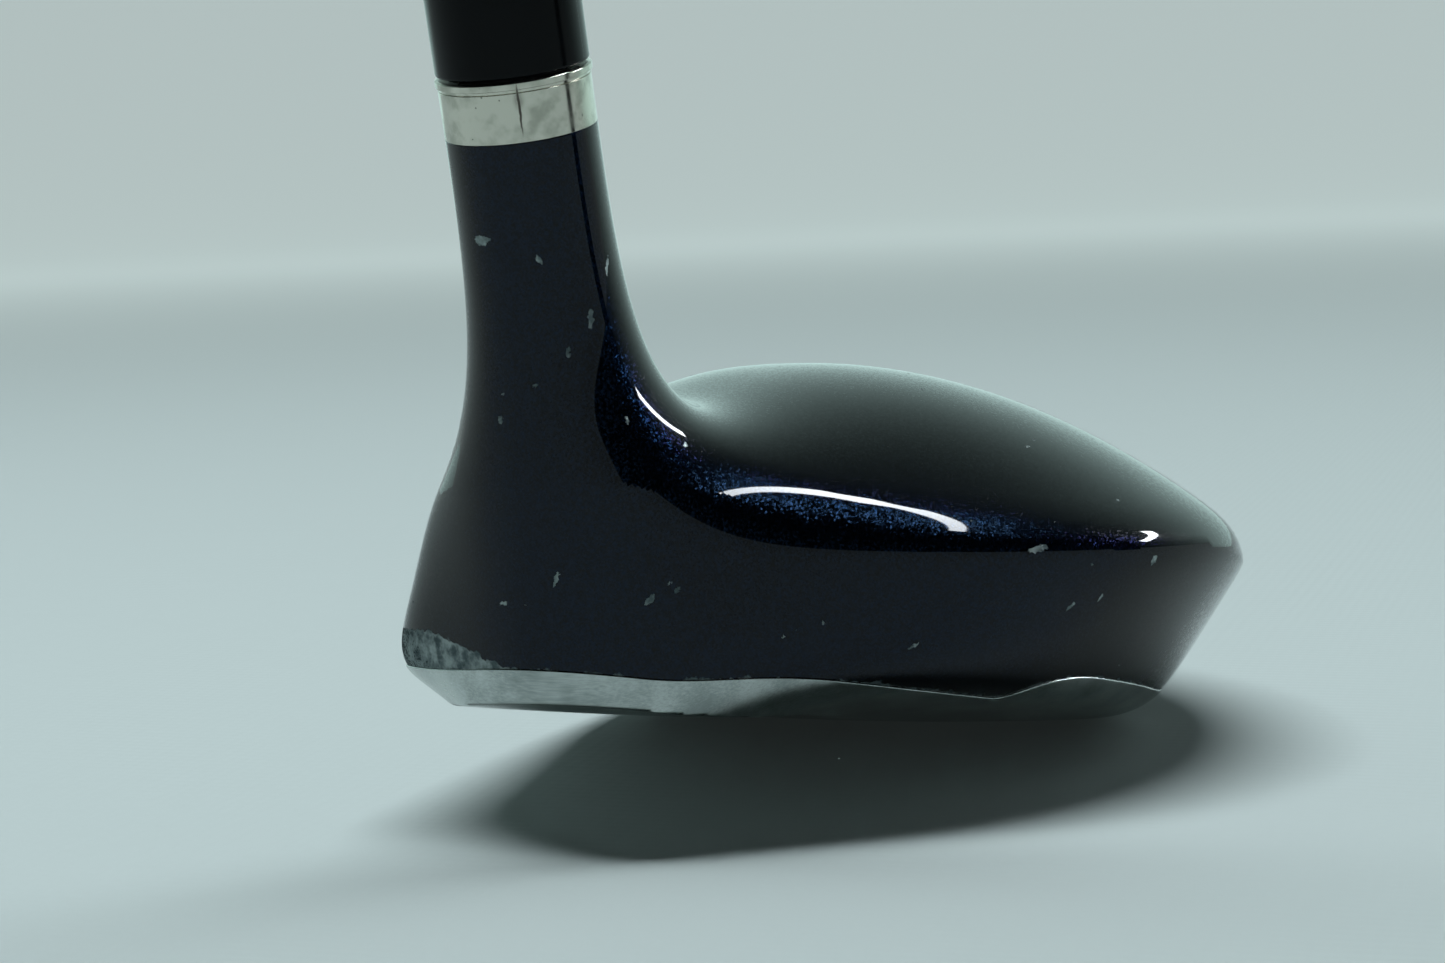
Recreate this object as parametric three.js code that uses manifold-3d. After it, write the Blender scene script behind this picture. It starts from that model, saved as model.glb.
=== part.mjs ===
// A hybrid golf club, in millimetres, +Z up: a head welded from four steel pieces, a polished collar and a ferrule
// where the shaft enters it, a hollow graphite shaft, and a rubber grip.
//
// The head is drawn in its address frame: origin where the shaft's axis meets the ground, +Y towards the toe, the face
// looking along -X and the sole on the ground. Round pieces are drawn about the shaft's axis and placed along it.
// The outermost group tips the club toe down from its address lie, and puts the origin where a hand holds the grip.

import * as THREE from "three";
import { mergeVertices } from "three/addons/utils/BufferGeometryUtils.js";
import Module from "manifold-3d";

const wasm = await Module();
wasm.setup();

const { degToRad } = THREE.MathUtils;

// ---- Driving dimensions -------------------------------------------------------------------------------------------

// Stance and overall length
const lie = degToRad(63); // shaft axis above the ground at address
const toeDown = degToRad(14.4); // how far the club is tipped from that lie
const clubLength = 1022; // along the shaft axis, from the ground to the end of the grip
const holdBelowButt = 105; // middle of the upper hand

// Head shell, outside. A blend is the size of a rounded edge.
const apexHeight = 37.5; // crown's highest point
const apexX = 7.5;
const apexY = 42;
const crownFallRear = 0.0087; // crown drops by this times the distance squared
const crownFallFront = 0.002;
const crownFallHeel = 0.0084;
const crownFallToe = 0.0058;
const crownCornerFall = 1.6e-6; // extra drop at the rear of the heel, times both distances squared
const planX = 6.4; // centre of the plan outline
const planY = 36;
const rearReach = 46.4; // plan outline from its centre
const heelReach = 44;
const toeReach = 50;
const frontReach = 60; // past the face, which cuts the outline off
const rearSquareness = 2; // exponent of the plan outline: 2 is an ellipse
const frontSquareness = 3.2;
const ridgeHeight = 17.5; // the skirt is widest here
const rearDraft = 0.61; // how fast the skirt narrows below the ridge
const sideDraft = 0.21;
const soleRadiusX = 390; // camber from face to rear
const soleRadiusHeel = 440; // camber from the lowest point to the heel
const soleRadiusToe = 120;
const soleLowX = 11.6; // the sole's lowest point
const soleLowY = 37;
const loft = degToRad(26);
const faceX = -21.2; // leading edge of the flat face
const faceZ = 7.5;
const faceBulge = 260; // radius of the face from heel to toe
const ridgeBlend = 5.5;
const faceBlend = 13;
const soleBlend = 7.6;

// Hosel
const hoselDiameter = 13.3;
const hoselTop = 58.7; // along the axis, from the ground
const hoselFoot = 8; // where the round hosel ends inside the head
const neckBlend = 33.5;
const boreDepth = 32;

// Walls and seams
const crownWall = 1.1;
const skirtWall = 1.6;
const faceWall = 2.3;
const soleWall = 2;
const weldGap = 0.3;
const bondGap = 0.25;

// Weld seams. The crown plate is a D seen from above, and the face plate a rounded panel. Insets and margins are
// measured from the outline of the head. The sole seam runs a set height above the sole and rises at the rear.
const crownPlateFront = 1;
const crownInsetRear = 7.3;
const crownInsetToe = 9.5;
const crownInsetHeel = 15.5;
const faceMarginToe = 16;
const faceMarginHeel = 14;
const faceMarginTop = 9;
const faceMarginBottom = 0.5;
const facePlateSquareness = 2.6;
const facePlateSlack = 0.6; // depth of the face plate's pocket behind the wall
const seamRise = 2.6;
const seamWave = 1.6;
const seamWaveFromRear = 20;
const seamWaveLength = 8;
const restFlatDepth = 0.1; // flat ground on the sole where it rests at address
const cutterClear = 3; // how far a cutter reaches past the surface it cuts

// Face grooves
const grooveCount = 6;
const groovePitch = 3.2;
const grooveWidth = 0.8;
const grooveDepth = 0.4;
const grooveEndMargin = 7;

// Inner ballast
const weightLength = 34;
const weightWidth = 9;
const weightHeight = 6;
const gluePadLength = 20;
const gluePadWidth = 14;
const gluePadHeight = 3.5;
const weightFromRear = 17;
const gluePadFromToe = 36;
const gluePadBehindFace = 15;
const bossFloor = 3; // steel under the bore

// Collar and ferrule
const collarHeight = 5.2;
const collarWall = 0.8;
const collarLip = 0.2; // how far the lip at its top stands out
const collarLipFoot = 0.9; // where the lip starts, below the top
const collarChamfer = 0.1;
const ferruleHeight = 25;
const ferruleStraight = 9; // before it tapers to the shaft
const ferruleEdge = 0.5; // wall left at its top
const ferruleProud = 0.05; // how far its foot stands out over the hosel
const ferruleChamfer = 0.3;

// Shaft
const tipDiameter = 9.4;
const tipStraight = 90;
const buttDiameter = 15.2;
const tipWall = 1.8;
const buttWall = 1.1;
const tipWeightLength = 24;
const tipWeightHead = 3;
const tipWeightStep = 0.5; // how much thinner the shank is than the head

// Grip
const gripLength = 268;
const gripMouthDiameter = 17.8;
const gripButtDiameter = 26.6;
const gripMouthChamfer = 0.8;
const tapeThickness = 0.2;
const tapeGap = 0.15;
const tapeMargin = 4;
const capHeight = 5;
const capEdge = 3; // rounding of the cap's rim
const capChamfer = 0.4;
const ventDiameter = 3;

// Fineness
const skinSides = 36;
const bodyRings = 15;
const fanRings = 8;
const neckRings = 2;
const cavityRings = 12;
const turnedSides = 32;
const seamSides = 32; // of the crown plate's curved edge
const facePlateCorners = 48;
const seamStepsAcross = 12;
const seamStepsAlong = 14;
const grooveSteps = 12;

// ---- Derived places -----------------------------------------------------------------------------------------------

const hoselRadius = hoselDiameter / 2;
const boreRadius = tipDiameter / 2 + bondGap;
const spigotRadius = hoselRadius - collarWall - bondGap;
const collarSeat = hoselTop - collarHeight - bondGap;
const boreFloor = hoselTop - boreDepth;
const shaftTip = boreFloor + bondGap;
const shaftButt = clubLength - capHeight - bondGap;
const gripMouth = clubLength - gripLength;
const headRear = planX + rearReach;
const headToe = planY + toeReach;
const headHeel = planY - heelReach;
const crownPlateMiddle = (headToe - crownInsetToe + headHeel + crownInsetHeel) / 2;
const crownPlateSides = headToe - crownInsetToe - crownPlateMiddle;
const crownPlateRear = headRear - crownInsetRear - crownPlateFront;
const crownPlateFloor = ridgeHeight + 1;
const faceHeight = (apexHeight - faceZ) / Math.cos(loft);
const facePlateUp = (faceHeight - faceMarginTop + faceMarginBottom) / 2;
const facePlateHalfHeight = facePlateUp - faceMarginBottom;
const facePlateAcross = (headToe - faceMarginToe + headHeel + faceMarginHeel) / 2 - planY;
const facePlateHalfLength = headToe - faceMarginToe - planY - facePlateAcross;
const grooveLength = 2 * (facePlateHalfLength - grooveEndMargin);
const along = new THREE.Vector3(0, -Math.cos(lie), Math.sin(lie));
const across = new THREE.Vector3(0, Math.sin(lie), Math.cos(lie));
const axisFrame = new THREE.Matrix4().makeRotationX(Math.PI / 2 - lie);

// ---- Solids -------------------------------------------------------------------------------------------------------

function solid(geometry, placement) {
  const source = geometry.clone();
  source.deleteAttribute("normal");
  source.deleteAttribute("uv");
  if (placement) source.applyMatrix4(placement);
  const merged = mergeVertices(source, 1e-4);
  return new wasm.Manifold(
    new wasm.Mesh({
      numProp: 3,
      vertProperties: new Float32Array(merged.attributes.position.array),
      triVerts: new Uint32Array(merged.index.array),
    }),
  );
}

function geometryOf(manifold) {
  const mesh = manifold.getMesh();
  const geometry = new THREE.BufferGeometry();
  geometry.setAttribute("position", new THREE.BufferAttribute(mesh.vertProperties, 3));
  geometry.setIndex(new THREE.BufferAttribute(mesh.triVerts, 1));
  geometry.computeVertexNormals();
  return geometry;
}

// A closed body through rings of points that all turn the same way, with a fan over its first and last ring.
function ringBody(rings) {
  const sides = rings[0].length;
  const points = rings.flat();
  const faces = [];
  for (let ring = 0; ring + 1 < rings.length; ring++) {
    for (let side = 0; side < sides; side++) {
      const next = (side + 1) % sides;
      const a = ring * sides + side;
      const b = ring * sides + next;
      faces.push(a, b, b + sides, a, b + sides, a + sides);
    }
  }
  const first = points.push(middleOf(rings[0])) - 1;
  const last = points.push(middleOf(rings[rings.length - 1])) - 1;
  const lastStart = (rings.length - 1) * sides;
  for (let side = 0; side < sides; side++) {
    const next = (side + 1) % sides;
    faces.push(first, next, side, last, lastStart + side, lastStart + next);
  }
  const geometry = new THREE.BufferGeometry().setFromPoints(points);
  geometry.setIndex(faces);
  return geometry;
}

function middleOf(points) {
  const middle = new THREE.Vector3();
  points.forEach((point) => middle.add(point));
  return middle.divideScalar(points.length);
}

// A turned body about the shaft axis: profile points are [radius, distance along the axis].
function turned(profile) {
  const lathe = new THREE.LatheGeometry(
    profile.map(([radius, height]) => new THREE.Vector2(radius, height)),
    turnedSides,
  );
  return lathe.rotateX(Math.PI / 2);
}

function rod(radius, from, to) {
  return turned([
    [0, from],
    [radius, from],
    [radius, to],
    [0, to],
  ]);
}

// ---- Head surface -------------------------------------------------------------------------------------------------

// Each function is negative inside its shape. The larger of two is what they share, the smaller is both joined.
function smoothMax(a, b, blend) {
  const near = Math.max(blend - Math.abs(a - b), 0) / blend;
  return Math.max(a, b) + (near ** 3 * blend) / 6;
}

const noWall = { crown: 0, skirt: 0, face: 0, sole: 0 };
const shellWall = { crown: crownWall, skirt: skirtWall, face: faceWall, sole: soleWall };
const ballastWall = {
  crown: crownWall + bondGap,
  skirt: skirtWall + bondGap,
  face: faceWall + bondGap,
  sole: soleWall + bondGap,
};

function crownDepth(x, y, z) {
  const dx = x - apexX;
  const dy = y - apexY;
  const fallX = dx > 0 ? crownFallRear : crownFallFront;
  const fallY = dy < 0 ? crownFallHeel : crownFallToe;
  const corner = crownCornerFall * (Math.max(dx, 0) * Math.min(dy, 0)) ** 2;
  const height = apexHeight - fallX * dx * dx - fallY * dy * dy - corner;
  return (z - height) / Math.hypot(1, 2 * fallX * Math.max(dx, 0), 2 * fallY * dy);
}

function skirtDepth(x, y, z) {
  const below = Math.max(ridgeHeight - z, 0);
  const dx = x - planX;
  const dy = y - planY;
  const reachX = dx > 0 ? rearReach - rearDraft * below : frontReach;
  const reachY = (dy < 0 ? heelReach : toeReach) - sideDraft * below;
  const power = dx > 0 ? rearSquareness : frontSquareness;
  const ratio = (Math.abs(dx / reachX) ** power + Math.abs(dy / reachY) ** power) ** (1 / power);
  return Math.hypot(dx, dy) * (1 - 1 / Math.max(ratio, 1e-6));
}

function faceDepth(x, y, z) {
  const bulge = (y - planY) ** 2 / (2 * faceBulge);
  return (z - faceZ) * Math.sin(loft) - (x - faceX - bulge) * Math.cos(loft);
}

function soleRadiusY(y) {
  return y < soleLowY ? soleRadiusHeel : soleRadiusToe;
}

function soleHeight(x, y) {
  return (x - soleLowX) ** 2 / (2 * soleRadiusX) + (y - soleLowY) ** 2 / (2 * soleRadiusY(y));
}

function soleDepth(x, y, z) {
  const slope = Math.hypot(1, (x - soleLowX) / soleRadiusX, (y - soleLowY) / soleRadiusY(y));
  return (soleHeight(x, y) - z) / slope;
}

function clubheadDepth(x, y, z, wall) {
  let depth = smoothMax(crownDepth(x, y, z) + wall.crown, skirtDepth(x, y, z) + wall.skirt, ridgeBlend);
  depth = smoothMax(depth, faceDepth(x, y, z) + wall.face, faceBlend);
  return smoothMax(depth, soleDepth(x, y, z) + wall.sole, soleBlend);
}

function headDepth(point) {
  const { x, y, z } = point;
  const height = point.dot(along);
  const tube = Math.max(Math.hypot(x, point.dot(across)) - hoselRadius, hoselFoot - height);
  return -smoothMax(-clubheadDepth(x, y, z, noWall), -tube, neckBlend);
}

function cavityDepth(wall) {
  return (point) => clubheadDepth(point.x, point.y, point.z, wall);
}

// ---- Rings cut through a surface ----------------------------------------------------------------------------------

const castReach = 75;
const castSteps = 60;
const castHalvings = 22;
const castCentre = new THREE.Vector3(10, 0, 14);

// Distance from a centre to the surface along one direction.
function castRay(depth, centre, direction) {
  const at = (distance) => depth(centre.clone().addScaledVector(direction, distance));
  let step = 1;
  while (step < castSteps && at((castReach * step) / castSteps) <= 0) step++;
  let near = (castReach * (step - 1)) / castSteps;
  let far = (castReach * step) / castSteps;
  for (let halving = 0; halving < castHalvings; halving++) {
    const middle = (near + far) / 2;
    if (at(middle) > 0) far = middle;
    else near = middle;
  }
  return (near + far) / 2;
}

// One ring in the plane that holds the X direction and `upward`, with its centre moved towards the ring's middle.
function castRing(depth, start, upward, recentre) {
  const centre = start.clone();
  let ring;
  for (let pass = 0; pass < (recentre ? 3 : 1); pass++) {
    if (pass > 0) {
      const shift = middleOf(ring).sub(centre);
      centre.x += 0.7 * shift.x;
      centre.addScaledVector(upward, 0.7 * shift.dot(upward));
    }
    ring = Array.from({ length: skinSides }, (_, side) => {
      const angle = (2 * Math.PI * side) / skinSides;
      const direction = upward.clone().multiplyScalar(Math.sin(angle));
      direction.x += Math.cos(angle);
      return centre.clone().addScaledVector(direction, castRay(depth, centre, direction));
    });
  }
  return ring;
}

// How far the surface reaches towards the toe (sign 1) or the heel (sign -1).
function furthestY(depth, sign) {
  const inside = (y) => {
    for (let x = -20; x <= 55; x += 1.25) {
      for (let z = -2; z <= 40; z += 0.7) if (depth(new THREE.Vector3(x, y, z)) < 0) return true;
    }
    return false;
  };
  let near = planY;
  let far = planY + sign * castReach;
  for (let halving = 0; halving < castHalvings; halving++) {
    const middle = (near + far) / 2;
    if (inside(middle)) near = middle;
    else far = middle;
  }
  return near - sign * 0.02;
}

const fanHeight = 44; // along the shaft axis, where the fan of planes has turned square to it
const fanRadius = 22; // from the shaft axis to the line that the fan turns about
const upright = new THREE.Vector3(0, 0, 1);

// Planes square to Y from the toe, a fan that turns from them to the shaft axis, and planes square to the axis.
function headRings() {
  const rings = [];
  const hinge = along.clone().multiplyScalar(fanHeight).addScaledVector(across, fanRadius);
  const toe = furthestY(headDepth, 1);
  for (let step = 0; step < bodyRings; step++) {
    const y = hinge.y + (toe - hinge.y) * Math.cos(((step / bodyRings) * Math.PI) / 2);
    rings.push(castRing(headDepth, castCentre.clone().setY(y), upright, true));
  }
  for (let step = 0; step <= fanRings; step++) {
    const share = step / fanRings;
    const upward = new THREE.Vector3(0, Math.sin(share * lie), Math.cos(share * lie));
    const reach = THREE.MathUtils.lerp(hinge.z - castCentre.z, fanRadius, share);
    const centre = hinge.clone().addScaledVector(upward, -reach);
    centre.x = castCentre.x * (1 - share);
    rings.push(castRing(headDepth, centre, upward, step < fanRings));
  }
  for (let step = 1; step <= neckRings; step++) {
    const height = THREE.MathUtils.lerp(fanHeight, collarSeat, step / neckRings);
    rings.push(castRing(headDepth, along.clone().multiplyScalar(height), across, false));
  }
  return rings;
}

function cavityBody(wall) {
  const depth = cavityDepth(wall);
  const toe = furthestY(depth, 1);
  const heel = furthestY(depth, -1);
  const rings = [];
  for (let step = 0; step <= cavityRings; step++) {
    const y = (toe + heel) / 2 + ((toe - heel) / 2) * Math.cos((Math.PI * step) / cavityRings);
    rings.push(castRing(depth, castCentre.clone().setY(y), upright, true));
  }
  return solid(ringBody(rings));
}

// ---- Cutters for the seams ----------------------------------------------------------------------------------------

// Upright prism over the D of the crown plate, clear of the skirt's wall.
function crownCutter(grow) {
  const outline = new THREE.Shape();
  const front = crownPlateFront - grow;
  const sides = crownPlateSides + grow;
  outline.moveTo(front, crownPlateMiddle - sides);
  outline.absellipse(front, crownPlateMiddle, crownPlateRear + 2 * grow, sides, -Math.PI / 2, Math.PI / 2);
  const prism = new THREE.ExtrudeGeometry(outline, { depth: apexHeight, bevelEnabled: false, curveSegments: seamSides });
  return solid(prism.translate(0, 0, crownPlateFloor - grow));
}

// The plane of the face: +X towards the toe, +Y up the face and +Z into the head.
function faceFrame() {
  const towardsToe = new THREE.Vector3(0, 1, 0);
  const upFace = new THREE.Vector3(Math.sin(loft), 0, Math.cos(loft));
  const inward = new THREE.Vector3().crossVectors(towardsToe, upFace);
  const origin = new THREE.Vector3(faceX, planY, faceZ);
  return new THREE.Matrix4().makeBasis(towardsToe, upFace, inward).setPosition(origin);
}

function faceCutter(grow) {
  const points = Array.from({ length: facePlateCorners }, (_, corner) => {
    const angle = (2 * Math.PI * corner) / facePlateCorners;
    const rounded = (value) => Math.sign(value) * Math.abs(value) ** (2 / facePlateSquareness);
    return new THREE.Vector2(
      facePlateAcross + (facePlateHalfLength + grow) * rounded(Math.cos(angle)),
      facePlateUp + (facePlateHalfHeight + grow) * rounded(Math.sin(angle)),
    );
  });
  const behind = faceSink(facePlateHalfLength + facePlateAcross) + faceWall + facePlateSlack + grow;
  const depth = behind + cutterClear;
  const prism = new THREE.ExtrudeGeometry(new THREE.Shape(points), { depth, bevelEnabled: false });
  return solid(prism.translate(0, 0, -cutterClear), faceFrame());
}

// How far the bulged face falls back from its middle.
function faceSink(distance) {
  return distance ** 2 / (2 * faceBulge);
}

// Everything below the sole seam, which follows the sole's camber and rises over the rear corner.
function seamHeight(x, y) {
  const waveStart = headRear - seamWaveFromRear;
  const wave = THREE.MathUtils.smoothstep(x, waveStart, waveStart + seamWaveLength);
  return soleHeight(x, y) + seamRise + seamWave * wave;
}

function soleCutter(raise) {
  const width = 2 * (rearReach + cutterClear);
  const length = heelReach + toeReach + 12 * cutterClear;
  const box = new THREE.BoxGeometry(width, length, 1, seamStepsAcross, seamStepsAlong, 1);
  box.translate(planX, planY, 0);
  const corner = box.attributes.position;
  for (let i = 0; i < corner.count; i++) {
    const top = corner.getZ(i) > 0;
    corner.setZ(i, top ? seamHeight(corner.getX(i), corner.getY(i)) + raise : -3 * cutterClear);
  }
  return solid(box);
}

// ---- Head pieces --------------------------------------------------------------------------------------------------

function boxAt(centre, length, width, height) {
  return solid(new THREE.BoxGeometry(width, length, height).translate(...centre));
}

function shellBody() {
  const boss = solid(rod(hoselRadius, boreFloor - bossFloor, fanHeight), axisFrame);
  const spigot = solid(rod(spigotRadius, collarSeat - 2, hoselTop), axisFrame);
  const bore = solid(rod(boreRadius, boreFloor, hoselTop + 1), axisFrame);
  const outside = solid(ringBody(headRings())).add(spigot);
  const restFlat = boxAt([soleLowX, soleLowY, restFlatDepth - cutterClear], heelReach, heelReach, 2 * cutterClear);
  return outside.subtract(cavityBody(shellWall).subtract(boss)).subtract(bore).subtract(restFlat);
}

function cutGrooves(plate) {
  for (let groove = 0; groove < grooveCount; groove++) {
    const up = facePlateUp + (groove - (grooveCount - 1) / 2) * groovePitch;
    const slot = new THREE.BoxGeometry(grooveLength, grooveWidth, cutterClear, grooveSteps, 1, 1);
    slot.translate(facePlateAcross, up, grooveDepth - cutterClear / 2);
    const corner = slot.attributes.position;
    for (let i = 0; i < corner.count; i++) corner.setZ(i, corner.getZ(i) + faceSink(corner.getX(i)));
    plate = plate.subtract(solid(slot, faceFrame()));
  }
  return plate;
}

function ballast(centre, length, width, height) {
  return boxAt(centre, length, width, height).intersect(cavityBody(ballastWall));
}

const rearWeightCentre = [headRear - weightFromRear, soleLowY, soleWall + bondGap + weightHeight / 2];
const gluePadCentre = [
  faceX + gluePadBehindFace,
  headToe - gluePadFromToe,
  soleWall + bondGap + gluePadHeight / 2,
];

const shell = shellBody();
const halfGap = weldGap / 2;

const headPieces = {
  head_body: shell
    .subtract(crownCutter(halfGap))
    .subtract(faceCutter(halfGap))
    .subtract(soleCutter(halfGap)),
  crown_plate: shell.intersect(crownCutter(-halfGap)),
  face_plate: cutGrooves(shell.intersect(faceCutter(-halfGap))),
  sole_plate: shell.intersect(soleCutter(-halfGap)),
  rear_weight: ballast(rearWeightCentre, weightLength, weightWidth, weightHeight),
  damping_glue_pad: ballast(gluePadCentre, gluePadLength, gluePadWidth, gluePadHeight),
};

// ---- Pieces about the shaft ---------------------------------------------------------------------------------------

function shaftRadius(height) {
  const share = THREE.MathUtils.clamp((height - shaftTip - tipStraight) / (clubLength - shaftTip - tipStraight), 0, 1);
  return THREE.MathUtils.lerp(tipDiameter, buttDiameter, share) / 2;
}

function shaftBore(height) {
  const share = (height - shaftTip) / (clubLength - shaftTip);
  return shaftRadius(height) - THREE.MathUtils.lerp(tipWall, buttWall, share);
}

// A closed sleeve: its outside going up, then its inside coming down, back to the first point.
function sleeve(outside, inside) {
  const profile = [...outside, ...inside.reverse()];
  return turned([...profile, profile[0]]);
}

function heightsBetween(from, to, count) {
  return Array.from({ length: count + 1 }, (_, step) => THREE.MathUtils.lerp(from, to, step / count));
}

function collarGeometry() {
  const inner = spigotRadius + bondGap;
  const foot = collarSeat + bondGap;
  const outside = [
    [hoselRadius - collarChamfer, foot],
    [hoselRadius, foot + collarChamfer],
    [hoselRadius, hoselTop - collarLipFoot],
    [hoselRadius + collarLip, hoselTop - collarLipFoot + collarLip],
    [hoselRadius + collarLip, hoselTop - collarLip - collarChamfer],
    [hoselRadius - collarChamfer, hoselTop],
  ];
  const inside = [
    [inner, foot],
    [inner, hoselTop],
  ];
  return sleeve(outside, inside);
}

function ferruleGeometry() {
  const foot = hoselTop + bondGap;
  const topRadius = shaftRadius(foot + ferruleHeight) + bondGap + ferruleEdge;
  const shoulder = foot + ferruleStraight;
  const outside = [
    [hoselRadius + ferruleProud - ferruleChamfer, foot],
    [hoselRadius + ferruleProud, foot + ferruleChamfer],
  ];
  for (const height of heightsBetween(foot + 2 * ferruleChamfer, foot + ferruleHeight, 14)) {
    const share = Math.max(height - shoulder, 0) / (foot + ferruleHeight - shoulder);
    const fall = 1 - Math.cos((share * Math.PI) / 2);
    outside.push([THREE.MathUtils.lerp(hoselRadius + ferruleProud, topRadius, fall), height]);
  }
  const inner = tipDiameter / 2 + bondGap;
  return sleeve(outside, [
    [inner, foot],
    [inner, foot + ferruleHeight],
  ]);
}

function shaftGeometry() {
  const heights = [shaftTip, ...heightsBetween(shaftTip + tipStraight, shaftButt, 6)];
  return sleeve(
    heights.map((height) => [shaftRadius(height), height]),
    heights.map((height) => [shaftBore(height), height]),
  );
}

// Stepped pin: its head closes the shaft's tip and its shank stands inside.
function tipWeightGeometry() {
  const radius = shaftBore(shaftTip + tipWeightLength) - bondGap;
  return turned([
    [0, shaftTip + tipWeightStep],
    [radius - tipWeightStep, shaftTip + tipWeightStep],
    [radius, shaftTip + 2 * tipWeightStep],
    [radius, shaftTip + tipWeightHead],
    [radius - tipWeightStep, shaftTip + tipWeightHead + tipWeightStep],
    [radius - tipWeightStep, shaftTip + tipWeightLength],
    [0, shaftTip + tipWeightLength],
  ]);
}

function tapeRadius(height) {
  return shaftRadius(height) + tapeGap;
}

function tapeGeometry() {
  const heights = heightsBetween(gripMouth + tapeMargin, shaftButt - tapeMargin, 4);
  return sleeve(
    heights.map((height) => [tapeRadius(height) + tapeThickness, height]),
    heights.map((height) => [tapeRadius(height), height]),
  );
}

// The grip swells slowly from its mouth and faster under the upper hand.
function gripRadius(height) {
  const share = THREE.MathUtils.clamp((height - gripMouth) / gripLength, 0, 1);
  const swell = 0.62 * share + 0.38 * share ** 3;
  return THREE.MathUtils.lerp(gripMouthDiameter, gripButtDiameter, swell) / 2;
}

function gripGeometry() {
  const top = clubLength - capHeight - bondGap;
  const bore = (height) => tapeRadius(height) + tapeThickness + tapeGap;
  const outside = heightsBetween(gripMouth + gripMouthChamfer, top, 12).map((height) => [gripRadius(height), height]);
  outside.unshift([gripRadius(gripMouth) - gripMouthChamfer, gripMouth]);
  const inside = heightsBetween(gripMouth, top, 4).map((height) => [bore(height), height]);
  return sleeve(outside, inside);
}

// Cap over the grip's end, with a flat face and a vent hole through it.
function capGeometry() {
  const radius = gripRadius(clubLength);
  const foot = clubLength - capHeight;
  const outside = [
    [radius - capChamfer, foot],
    [radius, foot + capChamfer],
  ];
  for (const angle of heightsBetween(0, Math.PI / 2, 6)) {
    outside.push([
      radius - capEdge + capEdge * Math.cos(angle),
      clubLength - capEdge + capEdge * Math.sin(angle),
    ]);
  }
  return sleeve(outside, [
    [ventDiameter / 2, foot],
    [ventDiameter / 2, clubLength],
  ]);
}

// ---- Materials and assembly ---------------------------------------------------------------------------------------

function finish(color, roughness, metalness) {
  return new THREE.MeshStandardMaterial({ color, roughness, metalness });
}

const navyPaint = () => finish("#16202b", 0.25, 0.4);
const bareSteel = () => finish("#9fa3a3", 0.35, 1);
const polishedSteel = () => finish("#c4c8c8", 0.15, 1);
const rubber = () => finish("#1b1c1e", 0.85, 0);

const headFinishes = {
  head_body: navyPaint(),
  crown_plate: navyPaint(),
  face_plate: bareSteel(),
  sole_plate: bareSteel(),
  rear_weight: bareSteel(),
  damping_glue_pad: finish("#c9b98a", 0.7, 0),
};

const shaftPieces = [
  ["hosel_collar", collarGeometry(), polishedSteel()],
  ["ferrule", ferruleGeometry(), finish("#0b0d10", 0.12, 0)],
  ["shaft", shaftGeometry(), finish("#23272c", 0.3, 0)],
  ["shaft_tip_weight", tipWeightGeometry(), finish("#b08d4a", 0.35, 1)],
  ["grip_tape", tapeGeometry(), finish("#d8d2bf", 0.8, 0)],
  ["grip_sleeve", gripGeometry(), rubber()],
  ["grip_end_cap", capGeometry(), rubber()],
];

function named(name, geometry, material) {
  const mesh = new THREE.Mesh(geometry, material);
  mesh.name = name;
  return mesh;
}

const addressFrame = new THREE.Group();
for (const [name, body] of Object.entries(headPieces)) {
  addressFrame.add(named(name, geometryOf(body), headFinishes[name]));
}

const shaftFrame = new THREE.Group();
shaftFrame.rotation.x = Math.PI / 2 - lie;
for (const [name, geometry, material] of shaftPieces) shaftFrame.add(named(name, geometry, material));
addressFrame.add(shaftFrame);

// Tip the club toe down about the place where the grip is held.
addressFrame.position.copy(along).multiplyScalar(holdBelowButt - clubLength);
const club = new THREE.Group();
club.rotation.x = -toeDown;
club.add(addressFrame);

const held = new THREE.Group();
held.add(club);

export default held;
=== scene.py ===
import math

import bpy
import numpy as np
from mathutils import Matrix, Vector


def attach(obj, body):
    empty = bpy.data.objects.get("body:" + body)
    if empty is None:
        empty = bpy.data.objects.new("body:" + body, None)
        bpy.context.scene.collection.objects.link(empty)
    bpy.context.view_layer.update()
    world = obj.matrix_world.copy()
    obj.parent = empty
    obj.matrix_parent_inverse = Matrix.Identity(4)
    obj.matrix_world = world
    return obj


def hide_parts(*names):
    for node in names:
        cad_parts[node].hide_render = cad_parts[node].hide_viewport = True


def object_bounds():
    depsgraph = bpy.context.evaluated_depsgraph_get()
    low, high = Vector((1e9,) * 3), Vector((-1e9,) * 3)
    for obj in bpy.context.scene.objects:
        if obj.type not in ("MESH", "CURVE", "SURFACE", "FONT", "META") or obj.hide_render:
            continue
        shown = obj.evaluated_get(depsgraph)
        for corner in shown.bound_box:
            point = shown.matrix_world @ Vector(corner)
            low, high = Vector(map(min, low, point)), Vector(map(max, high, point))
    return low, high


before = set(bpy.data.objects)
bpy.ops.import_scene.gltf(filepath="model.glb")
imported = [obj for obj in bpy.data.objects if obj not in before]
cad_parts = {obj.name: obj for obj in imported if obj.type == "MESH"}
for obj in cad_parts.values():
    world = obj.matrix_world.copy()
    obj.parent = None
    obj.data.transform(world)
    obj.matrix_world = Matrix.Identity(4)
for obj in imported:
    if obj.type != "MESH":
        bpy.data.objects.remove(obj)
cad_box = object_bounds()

# ---- Camera --------------------------------------------------------------------------------------
# A short telephoto close to the heel, a little behind and above it, turned slightly clockwise. It is aimed by
# the place of the collar on the shaft's axis. The club is held by its grip and leans toe down from its address
# lie, so a place on it is worked out at its lie first and then turned.

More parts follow.
